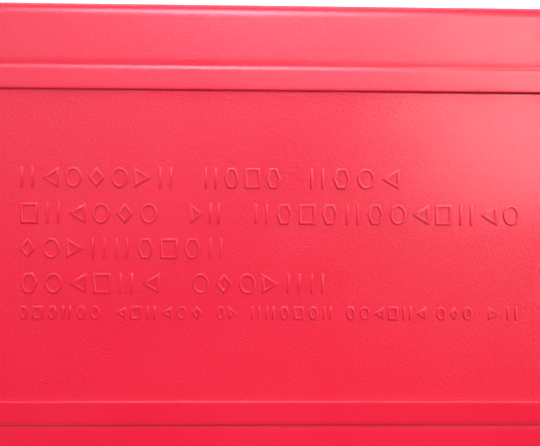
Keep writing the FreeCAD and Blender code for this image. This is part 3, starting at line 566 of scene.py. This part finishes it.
def shell_rows():
    """(distance inside the outer wall, corner radius, height above the parting plane), from panel to inside."""
    rows = []
    inner_edge = FRAME_INSET + FRAME_WIDTH
    panel_depth = WIDTH / 2 - inner_edge - 2.5
    for step in range(12, 0, -1):
        share = step / 12
        rows.append((inner_edge + 0.6 + share * panel_depth, max(PANEL_CORNER * (1 - share), 0.9),
                     FACE - DISH * (1 - (1 - share) ** 2)))
    rows.append((inner_edge + 0.35, PANEL_CORNER - 0.3, FACE))
    rows.append((inner_edge + 0.02, PANEL_CORNER, FACE + 0.03))
    for step in range(6):
        angle = math.radians(90 * step / 5)
        rows.append((inner_edge - 0.12 - STEP_ROUND * (1 - math.cos(angle)), PANEL_CORNER + 0.2,
                     HALF - STEP_ROUND + STEP_ROUND * math.sin(angle)))
    rows.append((inner_edge - 0.9, PANEL_CORNER + 0.7, HALF))
    for step in range(9):
        angle = math.radians(SHOULDER_TURN * step / 8)
        inset = FRAME_INSET + 0.1 + SHOULDER * (math.sin(math.radians(SHOULDER_TURN)) - math.sin(angle))
        rows.append((inset, FRAME_CORNER - (inset - FRAME_INSET), HALF - SHOULDER * (1 - math.cos(angle))))
    low = HALF - SHOULDER * (1 - math.cos(math.radians(SHOULDER_TURN)))
    rows.append((FRAME_INSET + 0.02, FRAME_CORNER, low - 0.05))
    rows.append((FRAME_INSET, FRAME_CORNER, low - 0.15))
    rows.append((FRAME_INSET - 0.01, FRAME_CORNER, FACE - FOOT_DIP + 0.03))
    for step in range(7):
        share = step / 6
        rows.append((FRAME_INSET - 0.12 - share * FOOT_SLOPE, FRAME_CORNER + 0.12 + share * FOOT_SLOPE,
                     FACE - FOOT_DIP * (1 - share) ** 1.6))
    rows.append((FRAME_INSET - FOOT_SLOPE - 0.8, FRAME_CORNER + FOOT_SLOPE + 0.8, FACE))
    rows.append((EDGE + 0.6, CORNER - EDGE - 0.6, FACE))
    for step in range(11):
        angle = math.radians(90 - 9 * step)
        inset = EDGE * (1 - math.cos(angle))
        rows.append((inset, CORNER - inset, FACE - EDGE + EDGE * math.sin(angle)))
    rows.append((0.0, CORNER, FACE - EDGE - 0.5))
    rows.append((0.0, CORNER, 0.5))
    rows.append((0.0, CORNER, 0.2))
    rows.append((0.2, CORNER - 0.2, 0.02))
    rows.append((WALL - 0.2, CORNER - WALL + 0.2, 0.02))
    rows.append((WALL, CORNER - WALL, 0.2))
    rows.append((WALL, CORNER - WALL, 0.5))
    rows.append((WALL, CORNER - WALL, FACE - WALL - 1.5))
    for step in range(5):
        angle = math.radians(22.5 * step)
        rows.append((WALL + 1.0 - math.cos(angle), CORNER - WALL - 1.0 + math.cos(angle),
                     FACE - WALL - 1.0 + math.sin(angle)))
    rows.append((WALL + 2.0, CORNER - WALL - 2.0, FACE - WALL))
    rows.append((WIDTH / 2 - 4.0, 2.0, FACE - WALL - DISH))
    return rows


def make_shell(name, side, body, replaced):
    """side is 1 for the lid, which opens downwards, and -1 for the tray, which is the same shell turned over."""
    bm = bmesh.new()
    rings = []
    for inset, radius, height in shell_rows():
        rings.append(corner_ring(bm, LENGTH / 2 - inset, WIDTH / 2 - inset, radius, height))
    for ring, following in zip(rings, rings[1:]):
        bmesh.ops.bridge_loops(bm, edges=ring + following)
    for ring in (rings[0], rings[-1]):
        bmesh.ops.contextual_create(bm, geom=ring)
    if side < 0:
        bmesh.ops.scale(bm, vec=(1, 1, -1), verts=bm.verts[:])
    bmesh.ops.translate(bm, vec=(0, case_middle, parting), verts=bm.verts[:])
    return finish_piece(name, bm, case_plastic, body, replaced)


make_shell("lid_shell", 1, "case_lid", ["case_lid"])
make_shell("tray_shell", -1, "case_tray", ["case_tray"])

# %% [markdown]
# ## Marks on the panel
# The panel of the real case carries rows of thin raised characters. Here they are plain shapes instead:
# outlines of triangles, squares, diamonds, hexagons and circles, and pairs of bars. Each is a flat outline,
# inset to a stroke and pushed up, in groups and rows of the same length and height.

# %% Raised marks
STROKE = 0.62
MARK_RISE = 0.38
ROW_CAP, SMALL_CAP = 4.7, 3.1
PITCH, SMALL_PITCH = 5.25, 3.35
MARK_ROWS = [
    (15.4, ROW_CAP, PITCH, [(-58.0, -21.3), (-16.0, 3.1), (8.0, 30.5)]),
    (7.2, ROW_CAP, PITCH, [(-57.6, -25.0), (-18.9, -10.6), (-4.6, 58.4)]),
    (-0.8, ROW_CAP, PITCH, [(-57.9, -9.7)]),
    (-8.8, ROW_CAP, PITCH, [(-57.6, -24.5), (-18.5, 13.6)]),
    (-15.5, SMALL_CAP, SMALL_PITCH,
     [(-57.6, -38.2), (-35.7, -14.9), (-12.5, -7.1), (-4.8, 15.0), (17.1, 36.6), (38.0, 47.3), (49.9, 58.1)]),
]
OUTLINES = [(4, 45.0), (3, 90.0), (24, 0.0), (4, 0.0), (6, 30.0), (3, -90.0)]  # sides, and degrees of turn


def panel_height(y):
    """Height of the dished panel at a distance from its centre line."""
    return parting + FACE - DISH + DISH * (y / (WIDTH / 2 - FRAME_INSET - FRAME_WIDTH)) ** 2


def outline_mark(bm, sides, turn_by, x, y, z, wide, tall):
    """A closed outline: a regular polygon, stretched to its cell, with its middle removed."""
    ring = bmesh.ops.create_circle(bm, cap_ends=True, segments=sides, radius=1.0)["verts"]
    bmesh.ops.rotate(bm, cent=(0, 0, 0), matrix=Matrix.Rotation(math.radians(turn_by), 3, "Z"), verts=ring)
    low = Vector([min(vert.co[i] for vert in ring) for i in (0, 1)])
    high = Vector([max(vert.co[i] for vert in ring) for i in (0, 1)])
    bmesh.ops.translate(bm, vec=(-(low.x + high.x) / 2, -(low.y + high.y) / 2, 0), verts=ring)
    bmesh.ops.scale(bm, vec=(wide / (high.x - low.x), tall / (high.y - low.y), 1), verts=ring)
    bmesh.ops.translate(bm, vec=(x, y, z), verts=ring)
    face = ring[0].link_faces[0]
    bmesh.ops.inset_individual(bm, faces=[face], thickness=STROKE, use_even_offset=True)
    return face


def make_marks():
    bm = bmesh.new()
    kind = 0
    for row_y, cap, pitch, words in MARK_ROWS:
        for start, end in words:
            count = max(2, round((end - start) / pitch))
            step = (end - start) / count
            for index in range(count):
                x = start + step * (index + 0.5)
                y = case_middle + row_y
                top = panel_height(row_y) - 0.06
                wide = step * 0.72
                kind = (kind * 5 + 3) % 17
                if kind % 4 == 3:
                    for shift in (-0.32, 0.32):
                        bar = bmesh.ops.create_grid(bm, x_segments=1, y_segments=1, size=0.5)["verts"]
                        bmesh.ops.scale(bm, vec=(STROKE, cap, 1), verts=bar)
                        bmesh.ops.translate(bm, vec=(x + shift * wide, y, top), verts=bar)
                else:
                    sides, turn_by = OUTLINES[kind % len(OUTLINES)]
                    inner = outline_mark(bm, sides, turn_by, x, y, top, wide, cap)
                    bmesh.ops.delete(bm, geom=[inner], context="FACES_ONLY")
    flat = bm.faces[:]
    bmesh.ops.recalc_face_normals(bm, faces=flat)
    for face in flat:
        if face.normal.z < 0:
            face.normal_flip()
    high_up = set(grow(bm, flat, (0, 0, MARK_RISE)))
    top_edges = {edge for vert in high_up for edge in vert.link_edges if high_up.issuperset(edge.verts)}
    rim = [edge for edge in top_edges if len(edge.link_faces) == 2 and abs(edge.calc_face_angle(0.0)) > 1.0]
    soften(bm, rim, 0.12)
    return finish_piece("panel_marks", bm, case_plastic, "case_lid", angle=50)


make_marks()

# %% [markdown]
# ## Fittings of the case
# Knuckles, pins and snap tabs are small, but they are what says that the case opens. Each knuckle is a barrel
# spun from a profile with soft ends, on a block that runs into the wall.

# %% Hinge knuckles and pins
def barrel(bm, start, end, radius, y, z, soft=0.4):
    profile = [(0.0, start), (radius - soft, start), (radius - soft * 0.3, start + soft * 0.3), (radius, start + soft),
               (radius, end - soft), (radius - soft * 0.3, end - soft * 0.3), (radius - soft, end), (0.0, end)]
    turned(bm, profile, (0.0, y, z), (1, 0, 0), steps=32)


def make_knuckles(name, body, spans, web_up):
    bm = bmesh.new()
    wall = case_middle - WIDTH / 2
    for start, end in spans:
        barrel(bm, start, end, KNUCKLE, hinge.y, hinge.z)
        low, high = (hinge.z, hinge.z + KNUCKLE) if web_up else (hinge.z - KNUCKLE, hinge.z)
        block(bm, (start, hinge.y, low), (end, wall + 1.0, high), soft=0.25)
    return finish_piece(name, bm, case_plastic, body)


HINGE_AT, LID_KNUCKLE, TRAY_KNUCKLE, GAP = 150.0, 16.0, 10.0, 0.4
lid_spans, tray_spans = [], []
for side in (-1, 1):
    middle, half = HINGE_AT * side, LID_KNUCKLE / 2
    lid_spans.append((middle - half, middle + half))
    tray_spans += [(middle - half - GAP - TRAY_KNUCKLE, middle - half - GAP),
                   (middle + half + GAP, middle + half + GAP + TRAY_KNUCKLE)]
make_knuckles("lid_knuckles", "case_lid", lid_spans, web_up=True)
make_knuckles("tray_knuckles", "case_tray", tray_spans, web_up=False)

bm = bmesh.new()
for side in (-1, 1):
    reach = LID_KNUCKLE / 2 + GAP + TRAY_KNUCKLE
    barrel(bm, HINGE_AT * side - reach, HINGE_AT * side + reach, 1.0, hinge.y, hinge.z, soft=0.25)
finish_piece("hinge_pins", bm, steel, "case_tray", ["lid_hinge_pins"])

# %% [markdown]
# A snap tab hangs from the lid over the tray's bump. Its lower half carries three grip ribs.

# %% Snap tabs and bumps
TAB_AT, TAB_HALF, BUMP_HALF = 130.0, 12.0, 8.0


def make_tabs():
    bm = bmesh.new()
    wall = case_middle + WIDTH / 2
    for side in (-1, 1):
        left, right = TAB_AT * side - TAB_HALF, TAB_AT * side + TAB_HALF
        block(bm, (left, wall - 1.0, parting + 3.0), (right, wall + 2.0, parting + 8.0), soft=0.5)
        block(bm, (left, wall + 0.5, parting - 8.0), (right, wall + 2.1, parting + 8.0), soft=0.5, steps=3)
        for rib in range(3):
            z = parting - 6.2 + rib * 1.8
            block(bm, (left + 3, wall + 1.7, z - 0.45), (right - 3, wall + 2.4, z + 0.45), soft=0.3)
    return finish_piece("snap_tabs", bm, case_plastic, "case_lid")


def make_bumps():
    bm = bmesh.new()
    wall = case_middle + WIDTH / 2
    for side in (-1, 1):
        left, right = TAB_AT * side - BUMP_HALF, TAB_AT * side + BUMP_HALF
        block(bm, (left, wall - 0.5, parting - 6.0), (right, wall + 0.3, parting - 4.0), soft=0.25)
    return finish_piece("snap_bumps", bm, case_plastic, "case_tray")


make_tabs()
make_bumps()

# %% [markdown]
# Inside, four low ribs in each shell are scooped in the middle, to cradle the folded triangle. The lid has a
# tongue along the tab side and both ends that drops inside the tray's rim.

# %% Ribs and tongue inside the case
def scooped_rib(bm, x, floor, up):
    """A thin rib across the shell whose free edge dips in a shallow curve."""
    outline = []
    half = WIDTH / 2 - WALL + 0.5
    for step in range(25):
        y = half - 2 * half * step / 24
        lift = 2.0 - 0.7 * math.cos(math.pi * y / half / 2) ** 2
        outline.append((y, lift))
    outline += [(-half, -0.5), (half, -0.5)]
    verts = [bm.verts.new((x - 0.8, case_middle + y, floor + up * lift)) for y, lift in outline]
    face = bm.faces.new(verts)
    grow(bm, [face], (1.6, 0, 0))


def make_insides(name, body, up):
    bm = bmesh.new()
    floor = parting - up * (FACE - WALL)
    for x in (-180.0, -60.0, 60.0, 180.0):
        scooped_rib(bm, x, floor, up)
    if up < 0:
        x_in, y_in = LENGTH / 2 - WALL - 1.5, WIDTH / 2 - WALL - 1.5
        tongue = ((1.2, parting - 2.5), (2.5, parting + 0.4))    # thickness, and height where it begins
        for thick, start in tongue:
            block(bm, (-201, case_middle + y_in, start), (201, case_middle + y_in + thick, parting + 3), soft=0.3)
        for side in (-1, 1):
            for thick, start in tongue:
                low, high = sorted((side * x_in, side * (x_in + thick)))
                block(bm, (low, case_middle - 35, start), (high, case_middle + 35, parting + 3), soft=0.3)
    return finish_piece(name, bm, case_plastic, body)


make_insides("lid_insides", "case_lid", -1)
make_insides("tray_insides", "case_tray", 1)

# %% [markdown]
# ## The triangle's bars
# The housings, the rail and the legs keep their engineering shapes. Flat areas are merged into single faces and
# every sharp edge gets a small round, because real edges always catch a thin line of light. Shading normals are
# weighted by area, which keeps the large faces flat beside the rounds.

# %% Softened copies of engineering shapes
def soft_copy(name, node, material, body, soft):
    bm = bmesh.new()
    bm.from_mesh(frame["nodes"][node].data)
    bmesh.ops.scale(bm, vec=(1000, 1000, 1000), verts=bm.verts[:])
    bmesh.ops.remove_doubles(bm, verts=bm.verts[:], dist=0.002)
    bmesh.ops.dissolve_limit(bm, angle_limit=math.radians(1.5), verts=bm.verts[:], edges=bm.edges[:])
    sharp = [edge for edge in bm.edges if len(edge.link_faces) == 2 and edge.calc_face_angle(0.0) > math.radians(35)]
    soften(bm, sharp, soft, clamp=True)
    bmesh.ops.triangulate(bm, faces=[face for face in bm.faces if len(face.verts) > 4])
    piece = finish_piece(name, bm, material, body, [node], angle=28, recalculate=False)
    weighted = piece.modifiers.new("flat_faces", "WEIGHTED_NORMAL")
    weighted.weight = 90
    weighted.keep_sharp = True
    return piece


for bar in ("base", "left_arm", "right_arm"):
    soft_copy(f"{bar}_moulding", f"{bar}_housing", housing_plastic, bar, 0.35)
soft_copy("rail", "stand_rail", steel, "base", 0.2)
for side in ("left", "right"):
    soft_copy(f"{side}_leg_strip", f"leg_{side}", steel, f"leg_{side}", 0.25)

# %% [markdown]
# A bar's own frame runs from pivot to pivot along X, with Z towards the outer edge of the triangle. The three
# bars are one bar turned by 120 degrees, so each strip is modelled once and turned into place. The outer
# strip is the reflector, in three segments with thin seams, and the inner strip is fluorescent.

# %% Reflector and fluorescent strips
SPAN = right_pivot.x - left_pivot.x
APEX_Z = left_pivot.z + SPAN * math.sin(math.radians(60))
BARS = {
    "base": (right_pivot.x, right_pivot.z, 180.0),
    "left_arm": (left_pivot.x, left_pivot.z, -60.0),
    "right_arm": (0.0, APEX_Z, 60.0),
}
UP_THE_SLOPE = math.tan(math.radians(30))
BAR_RADIUS, MITRE_START, MITRE_GAP = 25.0, 17.5, 0.17   # the mitred end, measured along the bar's outer edge
STRIP_GAP, LENS_THICK, SEAM = 0.15, 2.2, 0.12


def mitred_plate(bm, low, high, start_share, end_share, thick, front):
    """One segment of a strip. A share of 0 or 1 takes the mitred end, and anything between is a square seam."""
    def end_x(v, share):
        begin = MITRE_START + (BAR_RADIUS - v) * UP_THE_SLOPE + MITRE_GAP
        if share <= 0:
            return begin
        if share >= 1:
            return SPAN - begin
        return begin + (SPAN - 2 * begin) * share

    start_seam = SEAM if start_share > 0 else 0
    end_seam = SEAM if end_share < 1 else 0
    corners = [(end_x(low, start_share) + start_seam, low), (end_x(low, end_share) - end_seam, low),
               (end_x(high, end_share) - end_seam, high), (end_x(high, start_share) + start_seam, high)]
    face = bm.faces.new([bm.verts.new((x, front, z)) for x, z in corners])
    far = grow(bm, [face], (0, thick, 0))
    touched = {other for vert in far + list(face.verts) for other in vert.link_faces}
    bmesh.ops.recalc_face_normals(bm, faces=list(touched))
    return face


def make_strip(bar, strip):
    bm = bmesh.new()
    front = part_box(f"{bar}_{strip}")[0].y / MM
    start_x, start_z, degrees = BARS[bar]
    if strip == "reflector":
        low, high, shares = -4.0 + STRIP_GAP, 23.0 - STRIP_GAP, (0, 1 / 3, 2 / 3, 1)
    else:
        low, high, shares = -23.0 + STRIP_GAP, -5.0 - STRIP_GAP, (0, 1)
    for start_share, end_share in zip(shares, shares[1:]):
        face = mitred_plate(bm, low, high, start_share, end_share, LENS_THICK, front)
        edges = list(face.edges)
        if strip == "reflector":
            bmesh.ops.inset_individual(bm, faces=[face], thickness=1.3, use_even_offset=True)
            bmesh.ops.inset_individual(bm, faces=[face], thickness=0.25, depth=-0.2, use_even_offset=True)
        else:
            bmesh.ops.inset_individual(bm, faces=[face], thickness=0.9, use_even_offset=True)
            bmesh.ops.inset_individual(bm, faces=[face], thickness=0.3, depth=0.15, use_even_offset=True)
        soften(bm, [edge for edge in edges if edge.is_valid], 0.3)
    turning = Matrix.Rotation(math.radians(degrees), 4, "Y")
    bmesh.ops.transform(bm, matrix=Matrix.Translation((start_x, 0, start_z)) @ turning, verts=bm.verts[:])
    material = reflector if strip == "reflector" else fluorescent
    return finish_piece(f"{bar}_{strip}_strip", bm, material, bar, [f"{bar}_{strip}"], recalculate=False)


for bar in BARS:
    for strip in ("reflector", "fluorescent"):
        make_strip(bar, strip)

# %% [markdown]
# ## Rivets, washers and the lock
# All of these are turned shapes: a profile of radius against distance, spun about its axis. The place of each
# comes from the box of the engineering piece that it stands for.

# %% Turned fittings along Y
def along_y(node):
    low, high = (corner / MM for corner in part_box(node))
    return (low.x + high.x) / 2, low.y, high.y, (low.z + high.z) / 2


def make_pivot_rivet(side):
    node = f"{side}_pivot_rivet"
    x, front, rear, z = along_y(node)
    bm = bmesh.new()
    profile = [(0, front + 0.25), (1.2, front + 0.25), (1.6, front), (5.8, front), (6.6, front + 0.25),
               (7.0, front + 0.7), (7.0, front + 1.2), (3.0, front + 1.2), (3.0, rear - 1.2), (7.0, rear - 1.2),
               (7.0, rear - 0.7), (6.6, rear - 0.25), (5.8, rear), (0, rear)]
    turned(bm, profile, (x, 0, z), (0, 1, 0))
    return finish_piece(f"{side}_rivet", bm, steel, "base", [node])


def make_ring(name, node, body, material, inner, outer, axis="Y", soft=0.1, places=None):
    low, high = (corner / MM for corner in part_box(node))
    bm = bmesh.new()
    if axis == "Y":
        start, end = low.y, high.y
        middles = [((low.x + high.x) / 2, 0, (low.z + high.z) / 2)]
        direction = (0, 1, 0)
    else:
        start, end = low.z, high.z
        middles = [(x, y, 0) for x, y in places]
        direction = (0, 0, 1)
    profile = [(inner, start + soft), (inner + soft, start), (outer - soft, start), (outer, start + soft),
               (outer, end - soft), (outer - soft, end), (inner + soft, end), (inner, end - soft),
               (inner, start + soft)]
    for middle in middles:
        turned(bm, profile, middle, direction)
    return finish_piece(name, bm, material, body, [node])


for side in ("left", "right"):
    make_pivot_rivet(side)
make_ring("left_washer", "left_pivot_washer", "base", black_nylon, 3.02, 7.0, soft=0.08)
make_ring("right_spacer", "right_pivot_spacer", "base", black_nylon, 3.02, 6.0, soft=0.3)

# %% [markdown]
# At the apex, a bush sits in the right arm and a push knob slides in it.

# %% The lock's bush and knob
def make_bush():
    x, front, rear, z = along_y("apex_lock_bush")
    bm = bmesh.new()
    profile = [(2.55, front + 0.2), (2.8, front), (6.1, front), (6.5, front + 0.3), (6.5, front + 0.8),
               (4.2, front + 0.8), (4.2, rear - 0.3), (3.9, rear), (2.8, rear), (2.55, rear - 0.2),
               (2.55, front + 0.2)]
    turned(bm, profile, (x, 0, z), (0, 1, 0))
    return finish_piece("lock_bush", bm, black_nylon, "right_arm", ["apex_lock_bush"])


def make_knob():
    """A push knob: a dished cap with a grip bar, a ribbed rim and a stem with a soft tip."""
    x, front, rear, z = along_y("apex_lock_knob")
    bm = bmesh.new()
    profile = [(0, front + 0.35), (3.4, front + 0.3), (4.3, front + 0.06), (4.8, front), (5.5, front + 0.1),
               (5.95, front + 0.45), (6.1, front + 0.9), (6.1, front + 2.1), (5.8, front + 2.5), (2.5, front + 2.5),
               (2.5, rear - 0.5), (2.0, rear), (0, rear)]
    turned(bm, profile, (x, 0, z), (0, 1, 0))
    for index in range(20):
        angle = math.tau * index / 20
        ridge = bmesh.ops.create_cone(bm, segments=8, radius1=0.42, radius2=0.42, depth=1.5, cap_ends=True)["verts"]
        bmesh.ops.rotate(bm, cent=(0, 0, 0), matrix=Matrix.Rotation(math.radians(90), 3, "X"), verts=ridge)
        bmesh.ops.translate(bm, vec=(x + 6.05 * math.cos(angle), front + 1.4, z + 6.05 * math.sin(angle)), verts=ridge)
    block(bm, (x - 3.0, front + 0.02, z - 0.7), (x + 3.0, front + 0.6, z + 0.7), soft=0.25)
    return finish_piece("lock_knob", bm, black_nylon, "apex_lock", ["apex_lock_knob"])


make_bush()
make_knob()

# %% [markdown]
# The rail is held by four studs with low domed heads, and each leg turns on one, over a washer.

# %% Studs of the rail, and the legs' rivets and washers
def domed(bm, middle, axis, face_at, outward, radius, height, shank, shank_end):
    """A low domed head on a face, with a shank going the other way."""
    profile = [(0, face_at + outward * height)]
    for step in range(1, 7):
        angle = math.radians(90 - 15 * step)
        profile.append((radius * math.cos(angle), face_at + outward * height * (0.25 + 0.75 * math.sin(angle))))
    profile += [(radius, face_at), (shank, face_at), (shank, shank_end), (0, shank_end)]
    turned(bm, profile, middle, axis, steps=28)


rail_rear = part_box("stand_rail")[1].y / MM
stud_z = (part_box("rail_studs")[0].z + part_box("rail_studs")[1].z) / 2 / MM
bm = bmesh.new()
for x in (-135.0, -40.0, 40.0, 135.0):
    domed(bm, (x, 0, stud_z), (0, 1, 0), rail_rear, 1, 3.2, 1.0, 1.6, rail_rear - 5.4)
finish_piece("studs", bm, steel, "base", ["rail_studs"])

leg_places = [tuple(Vector(joints[f"leg_{side}_turn"]["pos_m"]).xy / MM) for side in ("left", "right")]
leg_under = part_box("leg_left")[1].z / MM - 2.0
bm = bmesh.new()
for x, y in leg_places:
    domed(bm, (x, y, 0), (0, 0, 1), leg_under, -1, 5.5, 1.2, 2.5, leg_under + 4.0)
finish_piece("leg_pins", bm, steel, "base", ["leg_rivets"])
make_ring("leg_rings", "leg_washers", "base", black_nylon, 2.52, 5.5, axis="Z", soft=0.1,
          places=leg_places)

# %% [markdown]
# ## Rubber feet
# A foot is a short stack of rounded rings. Three grooves run round it, and its sole is slightly smaller than
# its body.

# %% Feet
FOOT_LONG, FOOT_WIDE = 19.0, 22.0


def make_feet(side):
    node = f"leg_{side}_feet"
    low, high = (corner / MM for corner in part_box(node))
    x = (low.x + high.x) / 2
    bm = bmesh.new()
    for y in (low.y + FOOT_LONG / 2, high.y - FOOT_LONG / 2):
        rows = [(6.0, 0.5, 0.0), (1.0, 2.2, 0.0), (0.5, 2.6, 0.25), (0.2, 2.9, 0.7), (0.0, 3.0, 1.4)]
        for groove in (3.6, 6.4, 9.2):
            rows += [(0.0, 3.0, groove - 0.75), (0.12, 2.9, groove - 0.55), (0.55, 2.5, groove - 0.3),
                     (0.55, 2.5, groove + 0.3), (0.12, 2.9, groove + 0.55), (0.0, 3.0, groove + 0.75)]
        rows += [(0.0, 3.0, 11.4), (0.2, 2.9, 12.1), (0.6, 2.5, 12.7), (1.2, 2.0, 13.0), (6.0, 0.5, 13.0)]
        rings = []
        for inset, radius, z in rows:
            ring = corner_ring(bm, FOOT_WIDE / 2 - inset, FOOT_LONG / 2 - inset, radius, z, steps=5)
            verts = list({vert for edge in ring for vert in edge.verts})
            bmesh.ops.translate(bm, vec=(x, y, 0), verts=verts)
            rings.append(ring)
        for ring, following in zip(rings, rings[1:]):
            bmesh.ops.bridge_loops(bm, edges=ring + following)
        for ring in (rings[0], rings[-1]):
            bmesh.ops.contextual_create(bm, geom=ring)
    return finish_piece(f"{side}_feet", bm, rubber, f"leg_{side}", [node], angle=40)


for side in ("left", "right"):
    make_feet(side)
